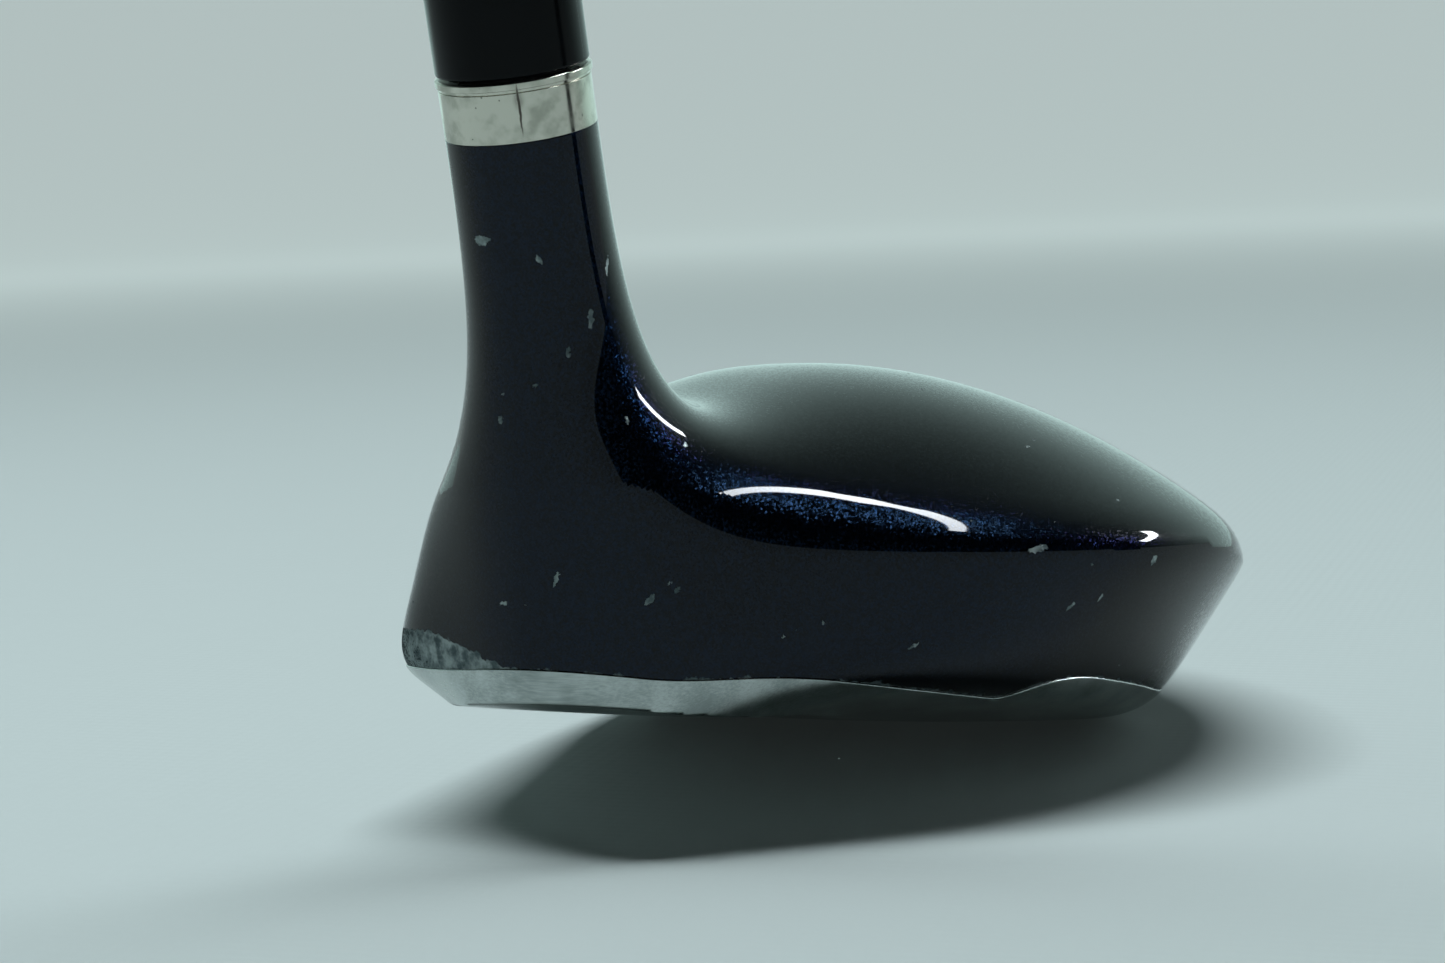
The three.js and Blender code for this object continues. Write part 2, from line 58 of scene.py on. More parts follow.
lie = math.radians(63)
toe_down = math.radians(14.4)
club_length = 1022.0
hold_below_butt = 105.0
along = np.array([0.0, -math.cos(lie), math.sin(lie)])
tip_over = np.array([
    [1, 0, 0],
    [0, math.cos(toe_down), math.sin(toe_down)],
    [0, -math.sin(toe_down), math.cos(toe_down)],
])


def to_row(points):
    """Address frame in mm to the part's frame in metres: shift the hold to the origin, then turn about X. The
    address frame starts where the shaft's axis meets the ground, +X behind the face and +Y to the toe."""
    return (points - along * (club_length - hold_below_butt)) @ tip_over.T / 1000


hosel_top = 58.7
collar_middle = hosel_top - 2.7
view_distance = 0.233
view_azimuth = math.radians(20)
view_elevation = math.radians(6.5)
view_roll = math.radians(2.6)
collar_left_of_middle = 0.0177
collar_above_middle = 0.0329

backward = Vector((
    math.sin(view_azimuth) * math.cos(view_elevation),
    -math.cos(view_azimuth) * math.cos(view_elevation),
    math.sin(view_elevation),
))
level_right = Vector((math.cos(view_azimuth), math.sin(view_azimuth), 0))
level_up = backward.cross(level_right)
rolled_right = level_right * math.cos(view_roll) - level_up * math.sin(view_roll)
rolled_up = level_up * math.cos(view_roll) + level_right * math.sin(view_roll)
collar_place = Vector(to_row(along * collar_middle))

camera_data = bpy.data.cameras.new("camera")
camera_data.lens = 67.3
camera_data.sensor_width = 36
camera_data.clip_start = 0.01
camera = bpy.data.objects.new("camera", camera_data)
bpy.context.scene.collection.objects.link(camera)
camera.matrix_world = Matrix.Translation(
    collar_place
    + backward * view_distance
    + rolled_right * collar_left_of_middle
    - rolled_up * collar_above_middle
) @ Matrix((rolled_right, rolled_up, backward)).transposed().to_4x4()
bpy.context.scene.camera = camera

# ---- Painted head shell --------------------------------------------------------------------------
# The body casting with its hosel, and the crown welded into it: 17-4 stainless steel, sprayed with navy metallic
# paint under a gloss lacquer. Its skin is where a blend of crown, skirt, face, sole and hosel surfaces is zero.

across = np.array([0.0, math.sin(lie), math.cos(lie)])
side = np.array([1.0, 0.0, 0.0])
upright = np.array([0.0, 0.0, 1.0])
apex = (7.5, 42.0, 37.5)
crown_fall = {"rear": 0.0087, "front": 0.002, "heel": 0.0084, "toe": 0.0058}
corner_fall = 1.6e-6
plan_middle = (6.4, 36.0)
plan_reach = {"rear": 46.4, "front": 60.0, "heel": 44.0, "toe": 50.0}
plan_squareness = {"rear": 2.0, "front": 3.2}
ridge_height = 17.5
rear_draft = 0.61
side_draft = 0.21
sole_low = (11.6, 37.0)
sole_radius = {"across": 390.0, "heel": 440.0, "toe": 120.0}
face_loft = math.radians(26)
face_edge = (-21.2, 7.5)
face_bulge = 260.0
hosel_radius = 6.65
hosel_foot = 8.0
ridge_blend = 5.5
face_blend = 13.0
sole_blend = 7.6
neck_blend = 33.5
collar_height = 5.2
joint_gap = 0.1


def smooth_max(a, b, blend):
    """The larger of two, with a cubic rise of a sixth of the blend where they are equal."""
    near = np.maximum(blend - np.abs(a - b), 0) / blend
    return np.maximum(a, b) + near**3 * blend / 6


def crown_depth(x, y, z):
    """Height above a dome that falls with the squared distance from its apex, more at the rear of the heel."""
    dx, dy = x - apex[0], y - apex[1]
    corner = corner_fall * (np.maximum(dx, 0) * np.minimum(dy, 0)) ** 2
    fall_x = np.where(dx > 0, crown_fall["rear"], crown_fall["front"])
    fall_y = np.where(dy < 0, crown_fall["heel"], crown_fall["toe"])
    steep = np.sqrt(1 + (2 * fall_x * np.maximum(dx, 0)) ** 2 + (2 * fall_y * dy) ** 2)
    return (z - apex[2] + fall_x * dx**2 + fall_y * dy**2 + corner) / steep


def skirt_depth(x, y, z):
    """Distance outside a superellipse in plan, which narrows below the ridge."""
    below = np.maximum(ridge_height - z, 0)
    dx, dy = x - plan_middle[0], y - plan_middle[1]
    reach_x = np.where(dx > 0, plan_reach["rear"] - rear_draft * below, plan_reach["front"])
    reach_y = np.where(dy < 0, plan_reach["heel"], plan_reach["toe"]) - side_draft * below
    power = np.where(dx > 0, plan_squareness["rear"], plan_squareness["front"])
    ratio = (np.abs(dx / reach_x) ** power + np.abs(dy / reach_y) ** power) ** (1 / power)
    return np.hypot(dx, dy) * (1 - 1 / np.maximum(ratio, 1e-6))


def face_depth(x, y, z):
    """Distance in front of the lofted face, which bulges from heel to toe."""
    bulge = (y - plan_middle[1]) ** 2 / (2 * face_bulge)
    return (z - face_edge[1]) * math.sin(face_loft) - (x - face_edge[0] - bulge) * math.cos(face_loft)


def sole_height(x, y):
    """The sole's camber: a shallow bowl, rounder towards the toe."""
    lengthways = np.where(y < sole_low[1], sole_radius["heel"], sole_radius["toe"])
    return (x - sole_low[0]) ** 2 / (2 * sole_radius["across"]) + (y - sole_low[1]) ** 2 / (2 * lengthways)


def head_depth(points):
    """Negative inside the head: crown, skirt, face and sole blended, then joined to the hosel's tube."""
    x, y, z = points[..., 0], points[..., 1], points[..., 2]
    depth = smooth_max(crown_depth(x, y, z), skirt_depth(x, y, z), ridge_blend)
    depth = smooth_max(depth, face_depth(x, y, z), face_blend)
    lengthways = np.where(y < sole_low[1], sole_radius["heel"], sole_radius["toe"])
    slope = np.hypot((x - sole_low[0]) / sole_radius["across"], (y - sole_low[1]) / lengthways)
    depth = smooth_max(depth, (sole_height(x, y) - z) / np.sqrt(1 + slope**2), sole_blend)
    tube = np.maximum(np.hypot(x, points @ across) - hosel_radius, hosel_foot - points @ along)
    return -smooth_max(-depth, -tube, neck_blend)


def outward(points):
    """Unit normals of the skin, from central differences of its depth."""
    step = 0.02
    slope = np.stack(
        [head_depth(points + step * axis) - head_depth(points - step * axis) for axis in np.eye(3)],
        axis=-1,
    )
    return slope / np.linalg.norm(slope, axis=-1, keepdims=True)


def cast(centres, directions, reach=76.0, marches=38, halvings=20):
    """Along each ray, the first crossing of the skin: even marches, then halvings."""
    near = np.zeros(directions.shape[:-1])
    far = np.full(directions.shape[:-1], reach)
    found = np.zeros(directions.shape[:-1], bool)
    for march in range(1, marches + 1):
        distance = reach * march / marches
        crossed = (head_depth(centres + distance * directions) > 0) & ~found
        far = np.where(crossed, distance, far)
        near = np.where(crossed, distance - reach / marches, near)
        found |= crossed
        if found.all():
            break
    for _ in range(halvings):
        middle = (near + far) / 2
        outside = head_depth(centres + middle[..., None] * directions) > 0
        near, far = np.where(outside, near, middle), np.where(outside, middle, far)
    return centres + ((near + far) / 2)[..., None] * directions


def head_rings(body_count, fan_count, neck_count, sides):
    """Rings round the skin: planes square to Y from the toe, then a fan of planes about a hinge beside the neck
    that turns them to the shaft's axis, then planes square to that. Each ring is cast out from its centre."""
    hinge_height, hinge_across, body_level = 44, 22, 14
    hinge = along * hinge_height + across * hinge_across
    toe = furthest_toe()
    turn = np.linspace(0, 1, body_count + 1)[:-1]
    body_y = hinge[1] + (toe - hinge[1]) * np.cos(turn * np.pi / 2)
    body = np.stack([np.full_like(body_y, 10), body_y, np.full_like(body_y, body_level)], -1)
    share = np.linspace(0, 1, fan_count + 1)
    fan_up = np.sin(share * lie)[:, None] * np.array([0, 1, 0]) + np.cos(share * lie)[:, None] * upright
    fan_reach = (hinge[2] - body_level) * (1 - share) + hinge_across * share
    fan = hinge - fan_reach[:, None] * fan_up
    fan[:, 0] = 10 * (1 - share)
    neck_height = np.linspace(hinge_height, hosel_top - collar_height - joint_gap, neck_count + 1)[1:]
    centres = np.concatenate([body, fan, neck_height[:, None] * along])
    upward = np.concatenate([np.tile(upright, (body_count, 1)), fan_up, np.tile(across, (neck_count, 1))])
    moves = (np.arange(len(centres)) < body_count + fan_count)[:, None]
    angle = np.linspace(0, 2 * np.pi, sides, endpoint=False)
    directions = np.cos(angle)[None, :, None] * side + np.sin(angle)[None, :, None] * upward[:, None]
    few = slice(None, None, max(sides // 40, 1))
    for _ in range(2):
        rings = cast(centres[:, None], directions[:, few])
        shift = rings.mean(1) - centres
        rise = (shift * upward).sum(-1, keepdims=True)
        centres = centres + np.where(moves, 0.7 * (shift[:, :1] * side + rise * upward), 0)
    return cast(centres[:, None], directions)


def furthest_toe():
    """How far the skin reaches along Y, by halving."""
    x, z = np.meshgrid(np.linspace(-15, 50, 60), np.linspace(0, 40, 60))
    near, far = 50.0, 120.0
    for _ in range(30):
        middle = (near + far) / 2
        inside = (head_depth(np.stack([x, np.full_like(x, middle), z], -1)) < 0).any()
        near, far = (middle, far) if inside else (near, middle)
    return near - 0.02


def grid_faces(rows, columns, wraps):
    """Quads between neighbouring rows and columns of a grid, closing round the columns if it wraps."""
    row = np.arange(rows - 1)[:, None]
    column = np.arange(columns if wraps else columns - 1)[None]
    after = (column + 1) % columns
    corners = [row * columns + column, row * columns + after]
    corners += [corners[1] + columns, corners[0] + columns]
    return np.stack(np.broadcast_arrays(*corners), -1).reshape(-1, 4)


def closed_rings(rings):
    """Points and faces of stacked rings, with a fan over the first and last one."""
    rows, columns = rings.shape[:2]
    points = np.concatenate([rings.reshape(-1, 3), [rings[0].mean(0), rings[-1].mean(0)]])
    here = np.arange(columns)
    after = (here + 1) % columns
    last = (rows - 1) * columns
    first_fan = np.stack([np.full(columns, rows * columns), after, here], -1)
    last_fan = np.stack([np.full(columns, rows * columns + 1), last + here, last + after], -1)
    return points, [grid_faces(rows, columns, True), np.concatenate([first_fan, last_fan])]


def make_piece(name, points, faces, normals=None):
    """A mesh riding on the club: points and normals in the address frame, faces as arrays of corners."""
    mesh = bpy.data.meshes.new(name)
    sizes = np.concatenate([np.full(len(group), group.shape[1]) for group in faces])
    corners = np.concatenate([group.ravel() for group in faces]).astype(np.int32)
    mesh.vertices.add(len(points))
    mesh.vertices.foreach_set("co", to_row(points).astype(np.float32).ravel())
    mesh.loops.add(len(corners))
    mesh.loops.foreach_set("vertex_index", corners)
    mesh.polygons.add(len(sizes))
    mesh.polygons.foreach_set("loop_start", (np.cumsum(sizes) - sizes).astype(np.int32))
    mesh.polygons.foreach_set("use_smooth", np.ones(len(sizes), bool))
    mesh.update(calc_edges=True)
    if normals is not None:
        mesh.normals_split_custom_set_from_vertices((normals @ tip_over.T).tolist())
    piece = bpy.data.objects.new(name, mesh)
    bpy.context.scene.collection.objects.link(piece)
    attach(piece, "root")
    return piece


def add(tree, kind, inputs=(), **settings):
    """Add a shader node with its settings. Its inputs, by name or in order, are values, sockets, or other nodes,
    whose first live output is taken."""
    node = tree.nodes.new("ShaderNode" + kind)
    for name, value in settings.items():
        setattr(node, name, value)
    for socket, value in inputs.items() if isinstance(inputs, dict) else enumerate(inputs):
        if isinstance(value, bpy.types.Node):
            value = next(output for output in value.outputs if output.enabled)
        if isinstance(value, bpy.types.NodeSocket):
            tree.links.new(value, node.inputs[socket])
        else:
            node.inputs[socket].default_value = value
    return node


def linear(colour):
    """Linear RGBA from an sRGB hex colour."""
    parts = np.array([int(colour[i : i + 2], 16) for i in (1, 3, 5)]) / 255
    return (*np.where(parts <= 0.04045, parts / 12.92, ((parts + 0.055) / 1.055) ** 2.4).tolist(), 1)


def new_material(name):
    """An empty node material."""
    material = bpy.data.materials.new(name)
    material.use_nodes = True
    material.node_tree.nodes.clear()
    return material, material.node_tree


def spot(tree, coordinates, place, long_way, facing, size):
    """Distance from a spot's middle, 1 at the rim of an ellipsoid of that size lying along long_way."""
    facing = np.asarray(facing, float) / np.linalg.norm(facing)
    long_way = np.asarray(long_way, float) - np.dot(long_way, facing) * facing
    long_way /= np.linalg.norm(long_way)
    axes = Matrix([tip_over @ axis for axis in (long_way, np.cross(facing, long_way), facing)]).transposed()
    inputs = {
        "Vector": coordinates,
        "Location": to_row(np.asarray(place, float)).tolist(),
        "Rotation": axes.to_euler(),
        "Scale": [part / 1000 for part in size],
    }
    local = add(tree, "Mapping", inputs, vector_type="TEXTURE")
    return add(tree, "VectorMath", {0: local}, operation="LENGTH").outputs["Value"]


# Places where the lacquer has been knocked off: middle, long way, half length and half width in mm
chips = [
    ((-2.3, -26.1, 37.5), (1, 0.2, 0.1), 0.85, 0.42),
    ((2.7, -25.1, 35.8), (0.6, 0, -1), 0.45, 0.22),
    ((6.6, -19.9, 36.3), (0.2, 0, -1), 0.8, 0.16),
    ((5.7, -20.6, 31.5), (0.2, 0, -1), 0.9, 0.28),
    ((4.1, -21.3, 28.5), (0.2, 0, -1), 0.5, 0.2),
    ((1.3, -21.5, 25.6), (1, 0, 0.6), 0.22, 0.1),
    ((-2.4, -20.4, 22.8), (0.3, 0, 1), 0.4, 0.2),
    ((8.2, -16.8, 23.2), (1, 0, -1), 0.45, 0.12),
    ((12.1, -11.7, 22.1), (1, 0, 0.4), 0.35, 0.2),
    ((9.3, -12.6, 7.8), (0.7, 0.3, 1), 0.62, 0.3),
    ((11.5, -11.6, 8.7), (0.8, 0.3, 0.8), 0.42, 0.14),
    ((10.9, -12.0, 9.3), (0.8, 0.3, 0.8), 0.3, 0.1),
    ((1.5, -15.8, 9.2), (0.35, 0, 1), 0.75, 0.16),
    ((-4.2, -14.4, 7.2), (1, -0.3, 0.2), 0.5, 0.16),
    ((29.0, 2.4, 5.3), (0.8, 0.5, 0.8), 0.55, 0.15),
    ((41.1, 12.5, 9.8), (0.6, 0.5, 1), 0.65, 0.16),
    ((43.3, 15.1, 10.9), (0.6, 0.5, 1), 0.4, 0.14),
    ((39.4, 7.0, 14.6), (1, 0.5, 0.25), 1.1, 0.3),
    ((47.6, 19.1, 14.8), (0.2, 0.2, 1), 0.45, 0.35),
]


def navy_metallic(name):
    """Navy metallic basecoat sprayed under a clear lacquer. Its flakes, each tilted its own way, glitter round a
    highlight, and the smooth lacquer mirrors the room. The flakes are drawn 0.16 mm across, coarser than real
    ones, so that they show."""
    material, tree = new_material(name)
    place = add(tree, "TexCoord").outputs["Object"]
    normal = add(tree, "NewGeometry").outputs["Normal"]
    flake = add(tree, "TexVoronoi", {"Vector": place, "Scale": 1000 / 0.16})
    tilt = add(tree, "VectorMath", {0: flake.outputs["Color"], 1: (-0.5,) * 3}, operation="ADD")
    tilt = add(tree, "VectorMath", {0: tilt, "Scale": 0.28}, operation="SCALE")
    tilt = add(tree, "VectorMath", {0: normal, 1: tilt}, operation="ADD")
    tilt = add(tree, "VectorMath", {0: tilt}, operation="NORMALIZE")
    glint = add(tree, "SeparateColor", {0: flake.outputs["Color"]}).outputs[1]
    basecoat = add(tree, "Mix", {0: glint, 6: linear("#020508"), 7: linear("#0c1828")}, data_type="RGBA")

    # Worn through to the steel: a ragged line along the bare edges, knocks, and a scatter of pinpricks
    ragged = add(tree, "TexNoise", {"Vector": place, "Scale": 1000 / 1.4, "Detail": 3.0, "Roughness": 0.6})
    edge = add(tree, "Attribute", attribute_name="paint_edge").outputs["Fac"]
    edge = add(
        tree, "Math",
        (
            edge,
            add(
                tree, "Math",
                (add(tree, "Math", (ragged, 0.5), operation="SUBTRACT"), 1.6),
                operation="MULTIPLY",
            ),
        ),
        operation="ADD",
    )
    bare = add(tree, "MapRange", (edge, 0.08, -0.08), interpolation_type="SMOOTHSTEP")
    warp = add(
        tree, "TexNoise", {"Vector": place, "Scale": 1000 / 0.45, "Detail": 3.0, "Roughness": 0.7},
    ).outputs["Color"]
    warp = add(tree, "VectorMath", {0: warp, 1: (-0.5,) * 3}, operation="ADD")
    warp = add(tree, "VectorMath", {0: warp, "Scale": 0.00085}, operation="SCALE")
    warped = add(tree, "VectorMath", {0: place, 1: warp}, operation="ADD")
    nearest = None
    for middle, long_way, half_length, half_width in chips:
        facing = outward(np.array(middle))
        distance = spot(tree, warped, middle, long_way, facing, (half_length, half_width, 1.2))
        nearest = distance if nearest is None else add(
            tree, "Math",
            (nearest, distance),
            operation="MINIMUM",
        )
    knock = add(tree, "MapRange", (nearest, 1.08, 0.92), interpolation_type="SMOOTHSTEP")
    stretched = add(tree, "Mapping", {"Vector": warped, "Rotation": (0.4, 0.5, 0.3), "Scale": (1, 0.55, 1)})
    speck = add(tree, "TexVoronoi", {"Vector": stretched.outputs[0], "Scale": 1000 / 1.5})
    pick = add(tree, "SeparateColor", {0: speck.outputs["Color"]})
    spread = add(tree, "TexNoise", {"Vector": place, "Scale": 1000 / 14, "Detail": 3.0, "Roughness": 0.6})
    busy = add(
        tree, "Math",
        (
            pick.outputs[0],
            add(
                tree, "Mix",
                {
                    0: add(tree, "MapRange", (spread, 0.4, 0.6), interpolation_type="SMOOTHSTEP"),
                    2: 0.96, 3: 0.55,
                },
            ),
        ),
        operation="GREATER_THAN",
    )
    reach = add(
        tree, "Math",
        (add(tree, "Math", (pick.outputs[1], 2.5), operation="POWER"), 0.17),
        operation="MULTIPLY",
    )
    speck = add(
        tree, "Math",
        (busy, add(tree, "Math", (speck.outputs["Distance"], reach), operation="LESS_THAN")),
        operation="MULTIPLY",
    )
    worn = add(
        tree, "Math",
        (add(tree, "Math", (knock, bare), operation="MAXIMUM"), speck),
        operation="MAXIMUM",
    )
    steel = add(
        tree, "Mix",
        {
            0: add(tree, "MapRange", (ragged, 0.35, 0.7), interpolation_type="SMOOTHSTEP"),
            6: linear("#4f5b5d"), 7: linear("#9aa5a4"),
        },
        data_type="RGBA",
    )
    height = add(tree, "Math", (worn, -0.04), operation="MULTIPLY")
    dent = add(tree, "Bump", {"Strength": 0.5, "Distance": 0.001, "Height": height, "Normal": tilt})
    inputs = {
        "Base Color": add(tree, "Mix", {0: worn, 6: basecoat, 7: steel}, data_type="RGBA"),
        "Metallic": add(tree, "Mix", {0: worn, 2: 0.9, 3: 0.75}),
        "Roughness": add(tree, "Mix", {0: worn, 2: 0.23, 3: 0.45}),
        "Normal": dent.outputs[0],
        "Coat Weight": add(tree, "Math", (1.0, worn), operation="SUBTRACT"),
        "Specular Tint": linear("#2b3743"), "Coat Roughness": 0.035, "Coat IOR": 1.28,
    }
    add(tree, "OutputMaterial", {"Surface": add(tree, "BsdfPrincipled", inputs)})
    return material


def paint_edge(points):
    """Height in mm above the edge of the paint, over the sole and below the collar."""
    x, y, z = points[..., 0], points[..., 1], points[..., 2]
    rise = z - sole_height(x, y) - seam_rise(x, y)
    worn_front = 3.4 * smooth(-3, -15, x)
    return np.minimum(rise - worn_front, hosel_top - collar_height - joint_gap - points @ along + 0.35)


def smooth(low, high, value):
    """Smoothstep from 0 at low to 1 at high."""
    share = np.clip((value - low) / (high - low), 0, 1)
    return share * share * (3 - 2 * share)


def seam_rise(x, y):
    """Height of the sole plate's edge above the sole's camber: low at the heel, a wave up over the rear."""
    low_heel = (1 - smooth(8, 24, x)) * (1 - smooth(-10, 6, y))
    return 0.2 + 2.3 * smooth(33, 42, x) - 1.6 * low_heel


face_along = np.array([0.0, 1.0, 0.0])
face_up = np.array([math.sin(face_loft), 0.0, math.cos(face_loft)])
face_inward = np.cross(face_along, face_up)
face_middle = np.array([face_edge[0], plan_middle[1], face_edge[1]]) + 2.0 * face_along + 12.44 * face_up
face_squareness = 2.6
pocket_half_length = 31.3
pocket_half_height = 11.2
pocket_depth = 1.0


def face_pocket(points, normals):
    """The skin set back where the face plate lies, inside a superellipse a little smaller than the plate."""
    from_middle = points - face_middle
    ratio = (np.abs(from_middle @ face_along / pocket_half_length) ** face_squareness
             + np.abs(from_middle @ face_up / pocket_half_height) ** face_squareness)
    in_front = normals @ -face_inward > 0.5
    return points - np.where((ratio < 1) & in_front, pocket_depth, 0.0)[:, None] * normals


rings = head_rings(150, 120, 16, 320)
skin_points, skin_faces = closed_rings(rings)
skin_normals = outward(skin_points)
skin_points = face_pocket(skin_points, skin_normals)
skin_normals[-1] = along
head = make_piece("painted_head", skin_points, skin_faces, skin_normals)
attribute = head.data.attributes.new("paint_edge", "FLOAT", "POINT")
attribute.data.foreach_set("value", paint_edge(skin_points).astype(np.float32))
head_paint = navy_metallic("navy metallic paint under clear lacquer")
head.data.materials.append(head_paint)
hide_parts("head_body", "crown_plate")

# ---- Sole plate ----------------------------------------------------------------------------------
# A stamped plate of the same stainless steel, welded in and left bare. It is satin where it was brushed, and
# scuffed by turf along the way the club swings. Its rounded edge stands just clear of the paint.


def skin_plate(centre, pole, belongs, proud, thickness, rows, sides, edge):
    """A closed plate lying on the head's skin. Rays fan out from a pole, and the plate ends where `belongs`
    does: its underside, a rolled edge of that radius, then its upper side back to the pole."""
    turn = np.linspace(0, 2 * np.pi, sides, endpoint=False)[:, None]
    round_pole = np.cos(turn) * side + np.sin(turn) * np.cross(pole, side)

    def rays(tilt):
        return np.cos(tilt)[..., None] * pole + np.sin(tilt)[..., None] * round_pole

    near, far = np.zeros(sides), np.full(sides, math.radians(150))
    for _ in range(22):
        middle = (near + far) / 2
        inside = belongs(cast(centre, rays(middle)))
        near, far = np.where(inside, middle, near), np.where(inside, far, middle)
    share = np.linspace(0, 1, rows + 1)[1:]
    skin = cast(centre, rays((1 - (1 - share) ** 1.3)[:, None] * near))
    normal = outward(skin)
    rim = skin[-1] - skin[-2]
    rim -= (rim * normal[-1]).sum(-1, keepdims=True) * normal[-1]
    rim /= np.linalg.norm(rim, axis=-1, keepdims=True)
    roll = np.linspace(0, np.pi / 2, 6)[:, None, None]
    rolled = skin[-1] + normal[-1] * (proud - edge + edge * np.cos(roll)) + rim * edge * (np.sin(roll) - 1)
    rolled_normal = np.cos(roll) * normal[-1] + np.sin(roll) * rim
    foot = (skin[-1] - thickness * normal[-1])[None]
    rows_up = [skin - thickness * normal, foot, rolled[::-1], (skin + proud * normal)[:-1][::-1]]
    rows_normal = [-normal, rim[None], rolled_normal[::-1], normal[:-1][::-1]]
    points, faces = closed_rings(np.concatenate(rows_up))
    normals = np.concatenate([np.concatenate(rows_normal).reshape(-1, 3), [-pole, pole]])
    return points, faces, normals


def on_sole(points):
    x, y, z = points[..., 0], points[..., 1], points[..., 2]
    return z - sole_height(x, y) < seam_rise(x, y)


def bare_steel(name, dark, light, roughness, streak):
    """Bare stainless steel: satin from the brush, with scuffs that run one way and dull stains."""
    material, tree = new_material(name)
    place = add(tree, "TexCoord").outputs["Object"]
    drawn = add(tree, "Mapping", {"Vector": place, "Scale": (0.06, 1, 1)})
    brushed = add(
        tree, "TexNoise",
        {"Vector": drawn, "Scale": 1000 / 0.18, "Detail": 3.0, "Roughness": 0.6},
    )
    stain = add(tree, "TexNoise", {"Vector": place, "Scale": 1000 / 7, "Detail": 3.0, "Roughness": 0.6})
    nick = add(tree, "TexVoronoi", {"Vector": drawn, "Scale": 1000 / 0.9}, feature="DISTANCE_TO_EDGE")
    nick = add(tree, "MapRange", (nick.outputs["Distance"], 0.03, 0.0), interpolation_type="SMOOTHSTEP")
    tone = add(
        tree, "Math",
        (
            add(tree, "Math", (stain, 0.7), operation="MULTIPLY"),
            add(tree, "Math", (brushed, 0.3), operation="MULTIPLY"),
        ),
        operation="ADD",
    )
    colour = add(
        tree, "Mix",
        {
            0: add(tree, "MapRange", (tone, 0.35, 0.65), interpolation_type="SMOOTHSTEP"),
            6: linear(dark), 7: linear(light),
        },
        data_type="RGBA",
    )
    rough = add(
        tree, "Math",
        (add(tree, "Math", (brushed, 0.12), operation="MULTIPLY"), roughness),
        operation="ADD",
    )
    rough = add(
        tree, "Math",
        (rough, add(tree, "Math", (stain, 0.14), operation="MULTIPLY")),
        operation="ADD",
    )
    height = add(
        tree, "Math",
        (brushed, add(tree, "Math", (nick, 0.6), operation="MULTIPLY")),
        operation="SUBTRACT",
    )
    bump = add(tree, "Bump", {"Strength": streak, "Distance": 0.00002, "Height": height})
    inputs = {"Base Color": colour, "Metallic": 1.0, "Roughness": rough, "Normal": bump.outputs[0]}
    add(tree, "OutputMaterial", {"Surface": add(tree, "BsdfPrincipled", inputs)})
    return material


sole_points, sole_faces, sole_normals = skin_plate(
    np.array([12.0, 36.0, 16.0]), -upright, on_sole, 0.16, 0.6, 110, 500, 0.12
)
sole = make_piece("sole_steel_plate", sole_points, sole_faces, sole_normals)
sole.data.materials.append(bare_steel("brushed stainless steel sole", "#8b9392", "#bcc3c1", 0.1, 0.3))
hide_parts("sole_plate")

# ---- Face plate ----------------------------------------------------------------------------------
# A thin plate of stainless steel, welded into the front of the head, ground flush with it and left bare. Six
# scoring lines are milled across it. The ballast inside the head keeps its CAD shape, finished as a casting.

face_half_length = 32.0
face_half_height = 11.94
face_sheet = 0.6
groove_count = 6
groove_pitch = 3.2
groove_width = 0.8
groove_depth = 0.4
groove_half_length = 25.0
middle_groove = (groove_count - 1) / 2


def groove_profile(lengthways, up):
    """Depth of the scoring lines: U-shaped troughs at an even pitch, closed by a ramp at both ends."""
    nearest = np.clip(np.round(up / groove_pitch - 0.5) + 0.5, -middle_groove, middle_groove)
    off_centre = np.abs(up - nearest * groove_pitch)
    trough = 1 - smooth(groove_width * 0.25, groove_width * 0.5, off_centre)
    return groove_depth * trough * smooth(groove_half_length, groove_half_length - 0.8, np.abs(lengthways))


up_rows = np.sin(np.linspace(-1, 1, 44) * math.radians(88.5)) * face_half_height
groove_rows = (np.arange(groove_count) - middle_groove)[:, None] * groove_pitch + np.linspace(-0.45, 0.45, 13)
up_rows = np.sort(np.concatenate([up_rows, groove_rows.ravel()]))[:, None]
row_share = (1 - np.abs(up_rows / face_half_height) ** face_squareness) ** (1 / face_squareness)
half_length = face_half_length * row_share
across_columns = np.sin(np.linspace(-1, 1, 181) * np.pi / 2)
lengthways = half_length * across_columns
flat_plate = face_middle + lengthways[..., None] * face_along + up_rows[..., None] * face_up
face_skin = cast(flat_plate + 6 * face_inward, np.broadcast_to(-face_inward, flat_plate.shape), reach=12.0)
rim_distance = np.minimum(half_length - np.abs(lengthways), face_half_height - np.abs(up_rows))
face_sink = groove_profile(lengthways, up_rows) - 0.05 * smooth(0.0, 0.2, rim_distance)
face_front = face_skin + face_sink[..., None] * face_inward
face_back = face_skin + face_sheet * face_inward
face_points, face_faces = closed_rings(np.concatenate([face_back, face_front[:, ::-1]], axis=1))
face = make_piece("grooved_face_plate", face_points, face_faces)
face.data.materials.append(bare_steel("blasted stainless steel face", "#858d8d", "#b7bdbc", 0.25, 0.4))
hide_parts("face_plate")

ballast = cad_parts["rear_weight"]
ballast.data.materials.clear()
ballast.data.materials.append(bare_steel("cast steel ballast", "#5c6060", "#8b8f8f", 0.4, 0.3))

# ---- Hosel collar --------------------------------------------------------------------------------
# A sleeve turned from stainless steel and polished, pressed over the end of the hosel. It has a small raised
# lip at its top, and a rusty joint down its heel side.


def on_shaft(radius, height, angle):
    """Point at a radius and turn about the shaft's axis, at a height along it."""
    radius, height, angle = (np.asarray(v, float)[..., None] for v in (radius, height, angle))
    return along * height + radius * (np.cos(angle) * side + np.sin(angle) * across)


